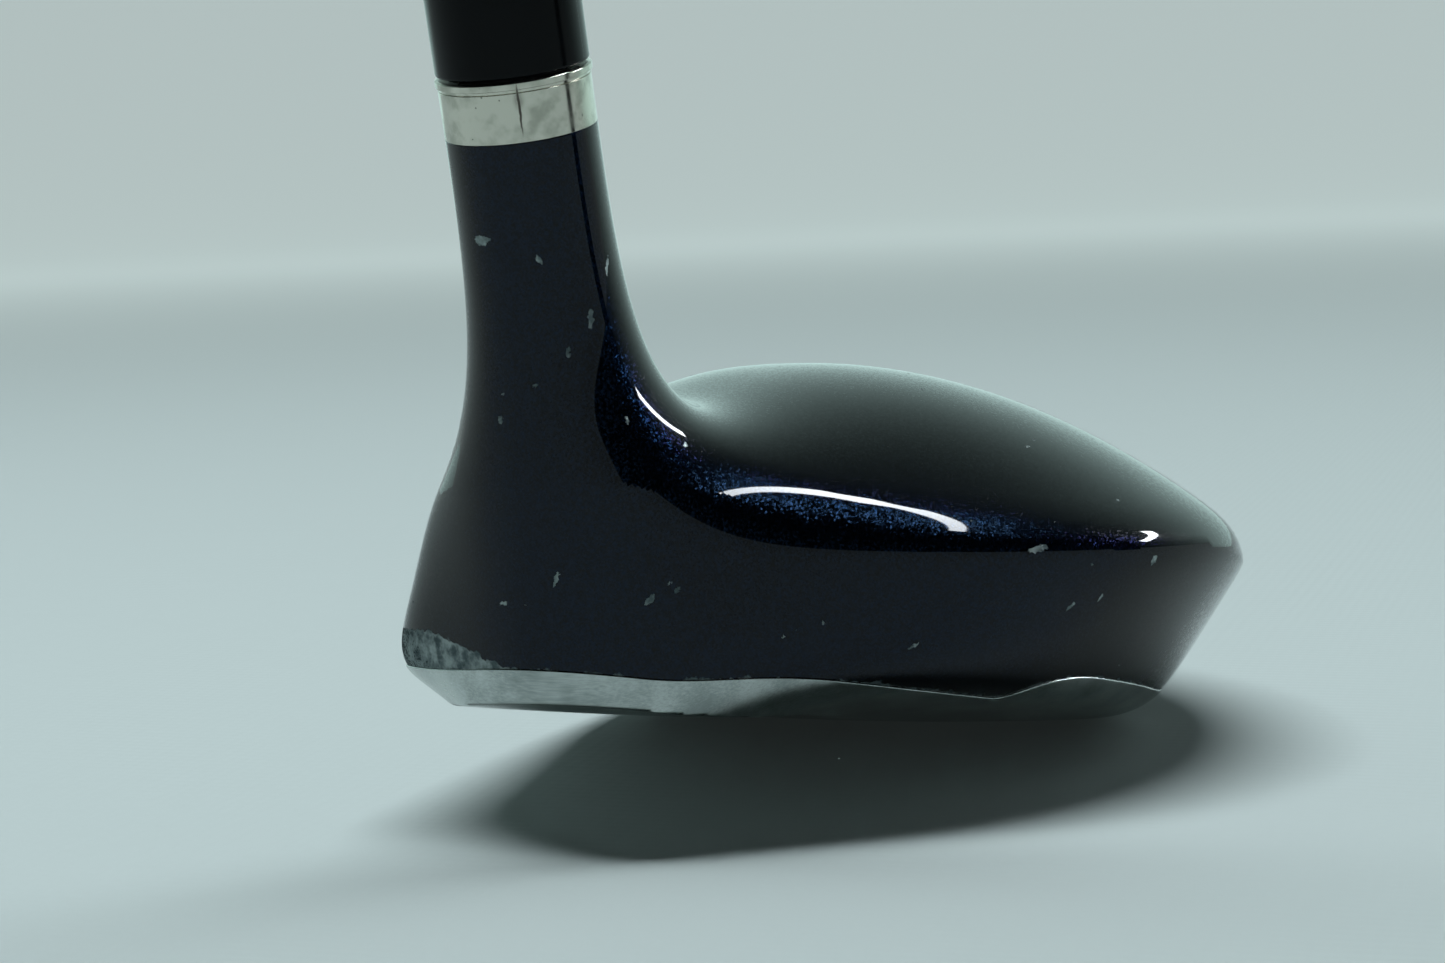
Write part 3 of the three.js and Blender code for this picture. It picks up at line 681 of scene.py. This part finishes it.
def filleted(corners, radii, steps=6):
    """A closed outline with each corner rounded by an arc: points and outward normals, anticlockwise."""
    corners = np.asarray(corners, float)
    before = corners - np.roll(corners, 1, 0)
    before /= np.linalg.norm(before, axis=1, keepdims=True)
    after = np.roll(before, -1, 0)
    turn = np.arctan2(before[:, 0] * after[:, 1] - before[:, 1] * after[:, 0], (before * after).sum(1))
    radius = np.asarray(radii, float)
    tangent = radius * np.tan(np.abs(turn) / 2)
    bend = np.sign(turn) * radius
    angle = np.linspace(0, 1, steps + 1)[None] * turn[:, None]
    out = np.stack([before[:, 1], -before[:, 0]], 1)
    centre = corners - before * tangent[:, None] - out * bend[:, None]
    normal = np.stack([
        np.cos(angle) * out[:, None, 0] - np.sin(angle) * out[:, None, 1],
        np.sin(angle) * out[:, None, 0] + np.cos(angle) * out[:, None, 1],
    ], -1)
    points = centre[:, None] + normal * bend[:, None, None]
    return points.reshape(-1, 2), normal.reshape(-1, 2)


def turned_piece(name, outline, normals, sides):
    """A closed outline of radius and height carried round the shaft's axis."""
    angle = np.linspace(0, 2 * np.pi, sides, endpoint=False)[None]
    points = on_shaft(outline[:, :1] + 0 * angle, outline[:, 1:] + 0 * angle, angle + 0 * outline[:, :1])
    turned = on_shaft(normals[:, :1] + 0 * angle, normals[:, 1:] + 0 * angle, angle + 0 * normals[:, :1])
    rows = len(outline)
    faces = grid_faces(rows + 1, sides, True) % (rows * sides)
    return make_piece(name, points.reshape(-1, 3), [faces], turned.reshape(-1, 3))


collar_foot = hosel_top - collar_height
collar_outline, collar_normals = filleted(
    [
        (5.85, collar_foot), (6.65, collar_foot), (6.65, hosel_top - 1.0),
        (6.55, hosel_top - 0.95), (6.55, hosel_top - 0.72), (6.82, hosel_top - 0.66),
        (6.82, hosel_top - 0.12), (6.6, hosel_top), (5.85, hosel_top),
    ],
    [0.02, 0.05, 0.05, 0.03, 0.03, 0.05, 0.1, 0.08, 0.02],
)
collar = turned_piece("polished_collar", collar_outline, collar_normals, 240)


def polished_steel(name):
    """Turned and polished stainless steel, with smears and pits, and a rusty joint where water sat."""
    material, tree = new_material(name)
    place = add(tree, "TexCoord").outputs["Object"]
    smear = add(tree, "TexNoise", {"Vector": place, "Scale": 1000 / 2.2, "Detail": 3.0, "Roughness": 0.6})
    cloudy = add(tree, "TexNoise", {"Vector": place, "Scale": 1000 / 0.7, "Detail": 3.0, "Roughness": 0.6})
    seam_turn = math.radians(-63)
    facing = math.cos(seam_turn) * side + math.sin(seam_turn) * across
    seam_place = 6.65 * facing + (hosel_top - 2.2) * along
    wobble = add(tree, "TexNoise", {"Vector": place, "Scale": 1000 / 0.8}).outputs["Color"]
    wobble = add(tree, "VectorMath", {0: wobble, "Scale": 0.0003}, operation="SCALE")
    warped = add(tree, "VectorMath", {0: place, 1: wobble}, operation="ADD")
    seam = add(
        tree, "MapRange",
        (spot(tree, warped, seam_place, along, facing, (2.2, 0.13, 1.5)), 1.25, 0.5),
        interpolation_type="SMOOTHSTEP",
    )
    stain = add(
        tree, "MapRange",
        (spot(tree, warped, seam_place + 0.8 * along, along, facing, (1.0, 0.5, 1.5)), 1.3, 0.1),
        interpolation_type="SMOOTHSTEP",
    )
    rust = add(
        tree, "Math",
        (
            add(tree, "Math", (seam, 0.85), operation="MULTIPLY"),
            add(tree, "Math", (stain, 0.45), operation="MULTIPLY"),
        ),
        operation="MAXIMUM",
    )
    pit = add(tree, "TexVoronoi", {"Vector": warped, "Scale": 1000 / 0.75})
    pick = add(tree, "SeparateColor", {0: pit.outputs["Color"]})
    pit = add(
        tree, "Math",
        (
            add(tree, "Math", (pit.outputs["Distance"], 0.14), operation="LESS_THAN"),
            add(tree, "Math", (pick, 0.86), operation="GREATER_THAN"),
        ),
        operation="MULTIPLY",
    )
    steel = add(
        tree, "Mix",
        {
            0: add(tree, "MapRange", (smear, 0.4, 0.7), interpolation_type="SMOOTHSTEP"),
            6: linear("#c8c6ba"), 7: linear("#a6a69a"),
        },
        data_type="RGBA",
    )
    colour = add(tree, "Mix", {0: rust, 6: steel, 7: linear("#2c211d")}, data_type="RGBA")
    colour = add(
        tree, "Mix",
        {0: add(tree, "Math", (pit, 0.7), operation="MULTIPLY"), 6: colour, 7: linear("#3a3f3e")},
        data_type="RGBA",
    )
    rough = add(
        tree, "Math",
        (
            add(
                tree, "Math",
                (add(tree, "MapRange", (smear, 0.3, 0.75), interpolation_type="SMOOTHSTEP"), 0.13),
                operation="MULTIPLY",
            ),
            0.1,
        ),
        operation="ADD",
    )
    rough = add(
        tree, "Math",
        (rough, add(tree, "Math", (rust, 0.4), operation="MULTIPLY")),
        operation="ADD",
    )
    bump = add(tree, "Bump", {"Strength": 0.25, "Distance": 0.00002, "Height": cloudy})
    inputs = {"Base Color": colour, "Metallic": 1.0, "Roughness": rough, "Normal": bump.outputs[0]}
    add(tree, "OutputMaterial", {"Surface": add(tree, "BsdfPrincipled", inputs)})
    return material


collar.data.materials.append(polished_steel("polished stainless steel collar"))
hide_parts("hosel_collar")

# ---- Ferrule -------------------------------------------------------------------------------------
# A moulded sleeve of black acetate, pushed down the shaft to the collar and polished with it. It is straight
# near its foot, then curves in to the shaft.

ferrule_foot = hosel_top + 0.25
ferrule_height = np.linspace(0, 25, 60)
ferrule_share = np.clip(ferrule_height - 9, 0, None) / 16
ferrule_radius = 6.7 + (5.46 - 6.7) * (1 - np.cos(ferrule_share * np.pi / 2))
ferrule_outline, ferrule_normals = filleted(
    np.concatenate([
        [(4.95, ferrule_foot)],
        np.stack([ferrule_radius, ferrule_foot + ferrule_height], 1),
        [(4.95, ferrule_foot + 25)],
    ]),
    np.concatenate([[0.05, 0.25], np.full(58, 0.3), [0.15, 0.05]]),
    3,
)
ferrule = turned_piece("gloss_ferrule", ferrule_outline, ferrule_normals, 200)


def gloss_plastic(name, colour, roughness):
    """Polished black plastic with faint polishing swirls."""
    material, tree = new_material(name)
    place = add(tree, "TexCoord").outputs["Object"]
    smear = add(tree, "TexNoise", {"Vector": place, "Scale": 1000 / 3, "Detail": 3.0, "Roughness": 0.6})
    rough = add(
        tree, "Math",
        (add(tree, "Math", (smear, 0.1), operation="MULTIPLY"), roughness),
        operation="ADD",
    )
    tint = add(tree, "Mix", {0: smear, 6: linear(colour), 7: linear("#06090d")}, data_type="RGBA")
    add(
        tree, "OutputMaterial",
        {"Surface": add(tree, "BsdfPrincipled", {"Base Color": tint, "Roughness": rough, "IOR": 1.2})},
    )
    return material


ferrule.data.materials.append(gloss_plastic("polished black acetate", "#020304", 0.1))
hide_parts("ferrule")

# ---- Shaft ---------------------------------------------------------------------------------------
# Carbon fibre cloth rolled on a steel rod and cured, ground smooth and lacquered. The tip is straight for 90 mm
# and is glued into the hosel. Above it the tube widens evenly to the grip.

shaft_tip = hosel_top - 32 + 0.25
shaft_butt = club_length - 5.25


def shaft_radius(height):
    """A straight tip, then a cone up to the butt."""
    return 4.7 + 2.9 * np.clip((height - shaft_tip - 90) / (club_length - shaft_tip - 90), 0, 1)


def tube(name, outside, bore, edge, sides):
    """A tube about the shaft's axis, from an outside profile and a bore radius of the same heights."""
    radius, height = outside
    outline = np.concatenate([np.stack([radius, height], 1), np.stack([bore, height], 1)[::-1]])
    rounding = np.full(len(outline), 0.02)
    rounding[[0, len(radius) - 1]] = edge
    return turned_piece(name, *filleted(outline, rounding, 3), sides)


shaft_height = np.concatenate([[shaft_tip], np.linspace(shaft_tip + 90, shaft_butt, 40)])
shaft_wall = 1.8 - 0.7 * (shaft_height - shaft_tip) / (club_length - shaft_tip)
shaft_out = shaft_radius(shaft_height)
shaft = tube("graphite_shaft", (shaft_out, shaft_height), shaft_out - shaft_wall, 0.2, 128)

lacquered, tree = new_material("lacquered carbon fibre")
place = add(tree, "TexCoord").outputs["Object"]
upright_shaft = add(
    tree, "Mapping", {"Vector": place, "Rotation": (math.radians(90) - lie + toe_down, 0, 0)},
)
wound = add(
    tree, "TexWave", {"Vector": upright_shaft.outputs[0], "Scale": 1000 / 9, "Distortion": 0.4},
    bands_direction="DIAGONAL",
)
fibre = add(tree, "TexNoise", {"Vector": place, "Scale": 1000 / 0.4, "Detail": 3.0, "Roughness": 0.6})
shade = add(tree, "Math", (wound.outputs["Fac"], fibre), operation="MULTIPLY")
add(
    tree, "OutputMaterial",
    {
        "Surface": add(
            tree, "BsdfPrincipled",
            {
                "Base Color": add(
                    tree, "Mix",
                    {0: shade, 6: linear("#0c0f13"), 7: linear("#262c33")},
                    data_type="RGBA",
                ),
                "Metallic": 0.25,
                "Roughness": add(
                    tree, "Math",
                    (add(tree, "Math", (fibre, 0.15), operation="MULTIPLY"), 0.28),
                    operation="ADD",
                ),
                "Coat Weight": 1.0, "Coat Roughness": 0.05,
            },
        ),
    },
)
shaft.data.materials.append(lacquered)
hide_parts("shaft")

# ---- Grip ----------------------------------------------------------------------------------------
# A moulded rubber sleeve slid over the shaft on tape. Its tread is two sets of grooves that wind opposite ways
# and leave small diamonds, between plain bands.

grip_mouth = club_length - 268.0
grip_top = club_length - 5.25


def grip_radius(height):
    """Slow swell from the mouth, faster under the upper hand."""
    share = np.clip((height - grip_mouth) / 268, 0, 1)
    return (17.8 + (26.6 - 17.8) * (0.62 * share + 0.38 * share**3)) / 2


def groove(phase, half_width):
    """1 in the middle of a groove, one per unit of phase, falling to 0 at half a width from it."""
    return smooth(half_width, 0.25 * half_width, np.abs(phase - np.round(phase)))


tread_rows, tread_sides = 470, 168
tread_height = np.linspace(grip_mouth + 1.2, grip_top, tread_rows)[:, None]
tread_turn = np.linspace(0, 2 * np.pi, tread_sides, endpoint=False)[None]
tread_pitch = 9.0
climbed = (tread_height - grip_mouth) / tread_pitch
wound_on = tread_turn * 6 / np.pi
tread = np.maximum(groove(climbed + wound_on, 0.13), groove(climbed - wound_on, 0.13))
in_tread = smooth(14, 16, tread_height - grip_mouth) * smooth(8, 10, grip_top - tread_height)
plain_band = np.abs((tread_height - grip_mouth) % 64 - 32)
in_tread = in_tread * smooth(3, 4, plain_band)
ring_groove = smooth(0.9, 0.3, np.abs(plain_band - 3.4)) * smooth(12, 14, tread_height - grip_mouth)
sink = 0.45 * np.maximum(tread * in_tread, ring_groove * smooth(6, 8, grip_top - tread_height))
bore_height = np.linspace(grip_top, grip_mouth, 6)[:, None]
mouth_radius = grip_radius(grip_mouth)
grip_points = np.concatenate([
    on_shaft(*np.broadcast_arrays(radius, height, tread_turn))
    for radius, height in (
        (mouth_radius - 0.8, grip_mouth),
        (mouth_radius - 0.25, grip_mouth + 0.3),
        (grip_radius(tread_height) - sink, tread_height),
        (shaft_radius(bore_height) + 0.5, bore_height),
    )
])
grip_faces = grid_faces(len(grip_points) + 1, tread_sides, True) % (len(grip_points) * tread_sides)
grip = make_piece("rubber_grip", grip_points.reshape(-1, 3), [grip_faces])


def moulded_rubber(name, colour, dusty):
    """Black moulded rubber: dull, finely pebbled, and a little grey where hands have dried it."""
    material, tree = new_material(name)
    place = add(tree, "TexCoord").outputs["Object"]
    pebble = add(tree, "TexNoise", {"Vector": place, "Scale": 1000 / 0.5, "Detail": 3.0, "Roughness": 0.6})
    handled = add(tree, "TexNoise", {"Vector": place, "Scale": 1000 / 30, "Detail": 3.0, "Roughness": 0.6})
    tint = add(
        tree, "Mix",
        {
            0: add(tree, "MapRange", (handled, 0.35, 0.7), interpolation_type="SMOOTHSTEP"),
            6: linear(colour), 7: linear(dusty),
        },
        data_type="RGBA",
    )
    bump = add(tree, "Bump", {"Strength": 0.35, "Distance": 0.0001, "Height": pebble})
    rough = add(
        tree, "Math",
        (add(tree, "Math", (pebble, 0.2), operation="MULTIPLY"), 0.6),
        operation="ADD",
    )
    add(
        tree, "OutputMaterial",
        {
            "Surface": add(
                tree, "BsdfPrincipled",
                {"Base Color": tint, "Roughness": rough, "Normal": bump.outputs[0], "IOR": 1.5},
            ),
        },
    )
    return material


grip.data.materials.append(moulded_rubber("moulded grip rubber", "#121315", "#242628"))
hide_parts("grip_sleeve")

# ---- Grip cap ------------------------------------------------------------------------------------
# The harder rubber end moulded onto the grip, round at its rim, with the vent hole that lets air out as the
# grip is slid on.

cap_radius = grip_radius(club_length)
cap_foot = club_length - 5
cap = turned_piece(
    "grip_cap",
    *filleted(
        [(1.5, cap_foot), (cap_radius, cap_foot), (cap_radius, club_length), (1.5, club_length)],
        [0.1, 0.35, 2.9, 0.4],
        12,
    ),
    120,
)
cap.data.materials.append(moulded_rubber("hard cap rubber", "#0d0e10", "#1a1c1e"))
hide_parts("grip_end_cap")

# ---- Pieces out of sight -------------------------------------------------------------------------
# Hot melt glue poured into the head to damp it, the brass pin pressed into the shaft's tip, and the
# double-sided tape wound under the grip. All three keep their CAD shapes.


def plain_stuff(name, dark, light, size_mm, roughness, metallic=0.0):
    """A mottled finish of two tones."""
    material, tree = new_material(name)
    place = add(tree, "TexCoord").outputs["Object"]
    mottle = add(
        tree, "TexNoise",
        {"Vector": place, "Scale": 1000 / size_mm, "Detail": 3.0, "Roughness": 0.6},
    )
    rough = add(
        tree, "Math",
        (add(tree, "Math", (mottle, 0.15), operation="MULTIPLY"), roughness),
        operation="ADD",
    )
    add(
        tree, "OutputMaterial",
        {
            "Surface": add(
                tree, "BsdfPrincipled",
                {
                    "Base Color": add(
                        tree, "Mix",
                        {0: mottle, 6: linear(dark), 7: linear(light)},
                        data_type="RGBA",
                    ),
                    "Roughness": rough, "Metallic": metallic,
                },
            ),
        },
    )
    return material


for node, material in (
    ("damping_glue_pad", plain_stuff("hot melt glue", "#b39f6a", "#d8c898", 4, 0.45)),
    ("shaft_tip_weight", plain_stuff("turned brass", "#8f6c2e", "#c09a4c", 0.5, 0.25, 1.0)),
    ("grip_tape", plain_stuff("crepe paper tape", "#b8b09a", "#ddd6c2", 0.8, 0.75)),
):
    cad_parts[node].data.materials.clear()
    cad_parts[node].data.materials.append(material)

# ---- Stage and lights ----------------------------------------------------------------------------
# A seamless pale sweep all round, two strip softboxes that only the glossy finishes see, and a wide one
# overhead that lights the cloth. The side behind the camera is dim.

ground = min(cad_box[0][2], cad_box[1][2])
head_middle = to_row(np.array([12.0, 30.0, 18.0]))
floor_reach = 2.2
bend_start = 2.6
bend_radius = 1.6
wall_height = 1.6


def sweep(name, start, stop, rows):
    """A surface of revolution round the head, between two lengths along its profile: a level floor, a quarter
    circle up, and a wall."""
    length = np.linspace(start, stop, rows)[:, None]
    bend = np.clip((length - bend_start) / bend_radius, 0, np.pi / 2)
    up_wall = np.clip(length - bend_start - bend_radius * np.pi / 2, 0, None)
    radius = np.minimum(length, bend_start) + bend_radius * np.sin(bend)
    height = bend_radius * (1 - np.cos(bend)) + up_wall
    turn = np.linspace(0, 2 * np.pi, 128, endpoint=False)
    points = np.stack([
        head_middle[0] + radius * np.cos(turn),
        head_middle[1] + radius * np.sin(turn),
        ground + height + 0 * turn,
    ], -1)
    mesh = bpy.data.meshes.new(name)
    mesh.from_pydata(points.reshape(-1, 3).tolist(), [], grid_faces(rows, 128, True)[:, ::-1].tolist())
    mesh.polygons.foreach_set("use_smooth", np.ones(len(mesh.polygons), bool))
    stage = bpy.data.objects.new(name, mesh)
    bpy.context.scene.collection.objects.link(stage)
    return stage


floor = sweep("studio_floor", 0.0001, floor_reach, 30)
wall_end = bend_start + bend_radius * np.pi / 2 + wall_height
backdrop = sweep("studio_backdrop", floor_reach, wall_end, 60)
backdrop.visible_glossy = False
backdrop.visible_diffuse = False

# Pale backdrop cloth with a plain weave. It glows a little more the further it lies from the head.
cloth, tree = new_material("pale backdrop cloth")
place = add(tree, "TexCoord").outputs["Object"]
thread = {"Vector": place, "Scale": 1000 / 5.0, "Distortion": 1.5}
warp_threads = add(tree, "TexWave", thread, bands_direction="X").outputs["Fac"]
weft_threads = add(tree, "TexWave", thread, bands_direction="Y").outputs["Fac"]
weave = add(tree, "Math", (warp_threads, weft_threads), operation="ADD")
bump = add(tree, "Bump", {"Strength": 0.15, "Distance": 0.0001, "Height": weave})
from_head = add(tree, "VectorMath", {0: place, 1: head_middle.tolist()}, operation="DISTANCE")
add(
    tree, "OutputMaterial",
    {
        "Surface": add(
            tree, "BsdfPrincipled",
            {
                "Base Color": linear("#b4c0be"), "Roughness": 0.9, "Specular IOR Level": 0.1,
                "Normal": bump.outputs[0],
                "Emission Color": linear("#b6c4c3"),
                "Emission Strength": add(
                    tree, "Mix",
                    {
                        0: add(
                            tree, "MapRange",
                            (from_head.outputs["Value"], 0.1, 2.2),
                            interpolation_type="SMOOTHSTEP",
                        ),
                        2: 0.02, 3: 0.9,
                    },
                ),
            },
        ),
    },
)
floor.data.materials.append(cloth)
backdrop.data.materials.append(cloth)

# What the polished finishes see of the room: pale cloth low on the far side, fading upwards, dark elsewhere
world = bpy.data.worlds.new("studio")
world.use_nodes = True
tree = world.node_tree
tree.nodes.clear()
way = add(tree, "TexCoord").outputs["Generated"]
far_way = Vector((-backward.x, -backward.y, 0)).normalized()
facing = add(tree, "VectorMath", {0: way, 1: far_way}, operation="DOT_PRODUCT").outputs["Value"]
climb = add(tree, "SeparateXYZ", {0: way}).outputs["Z"]
glow = add(
    tree, "Math",
    (
        add(tree, "MapRange", (facing, -0.15, 0.85), interpolation_type="SMOOTHSTEP"),
        add(tree, "MapRange", (climb, 0.98, 0.1), interpolation_type="SMOOTHSTEP"),
    ),
    operation="MULTIPLY",
)
light = add(
    tree, "Background",
    {"Color": linear("#abc6c3"), "Strength": add(tree, "Mix", {0: glow, 2: 0.01, 3: 1.6})},
)
add(tree, "OutputWorld", {"Surface": light.outputs[0]})
bpy.context.scene.world = world

# A narrow dark stand at the right, which the polished collar and the neck mirror as a thin dark band
stand_way = Vector((math.cos(math.radians(12)), math.sin(math.radians(12)), 0))
stand_across = Vector((-stand_way.y, stand_way.x, 0)) * 0.03
stand_foot = Vector((head_middle[0], head_middle[1], ground)) + stand_way * 0.4
stand_mesh = bpy.data.meshes.new("studio_stand")
stand_top = Vector((0, 0, 0.4))
stand_mesh.from_pydata(
    [stand_foot - stand_across, stand_foot + stand_across, stand_foot + stand_across + stand_top,
     stand_foot - stand_across + stand_top],
    [], [(0, 1, 2, 3)],
)
stand = bpy.data.objects.new("studio_stand", stand_mesh)
bpy.context.scene.collection.objects.link(stand)
stand.visible_camera = False
stand.visible_diffuse = False
stand.visible_shadow = False
black, tree = new_material("black stand")
add(
    tree, "OutputMaterial",
    {
        "Surface": add(
            tree, "BsdfPrincipled",
            {"Base Color": linear("#060808"), "Roughness": 1.0, "Specular IOR Level": 0.0},
        ),
    },
)
stand_mesh.materials.append(black)


def softbox(name, direction, long_way, distance, width, length, power):
    """An area light aimed at the head from a direction, its length lying along another."""
    data = bpy.data.lights.new(name, "AREA")
    data.shape = "RECTANGLE"
    data.size, data.size_y, data.energy = width, length, power
    data.color = linear("#f4faff")[:3]
    light = bpy.data.objects.new(name, data)
    bpy.context.scene.collection.objects.link(light)
    aim = Vector(direction).normalized()
    lengthways = Vector(long_way) - aim * aim.dot(Vector(long_way))
    lengthways.normalize()
    axes = Matrix((lengthways.cross(aim), lengthways, aim)).transposed().to_4x4()
    light.matrix_world = Matrix.Translation(Vector(head_middle) + aim * distance) @ axes
    light.visible_camera = False
    return light


window_right = softbox("window_right", (0.75, 0.54, 0.37), (-0.39, 0.32, 0.34), 1.2, 0.06, 0.6, 7)
window_right.visible_diffuse = False
window_above = softbox("window_above", (0.54, 0.10, 0.84), (0.53, -0.63, -0.27), 1.2, 0.06, 1.1, 9)
window_above.visible_diffuse = False
ceiling = softbox("ceiling", (-0.1, -0.05, 1.0), level_right, 1.2, 0.22, 1.1, 18)
ceiling.visible_glossy = False

bpy.context.scene.view_settings.view_transform = "Standard"
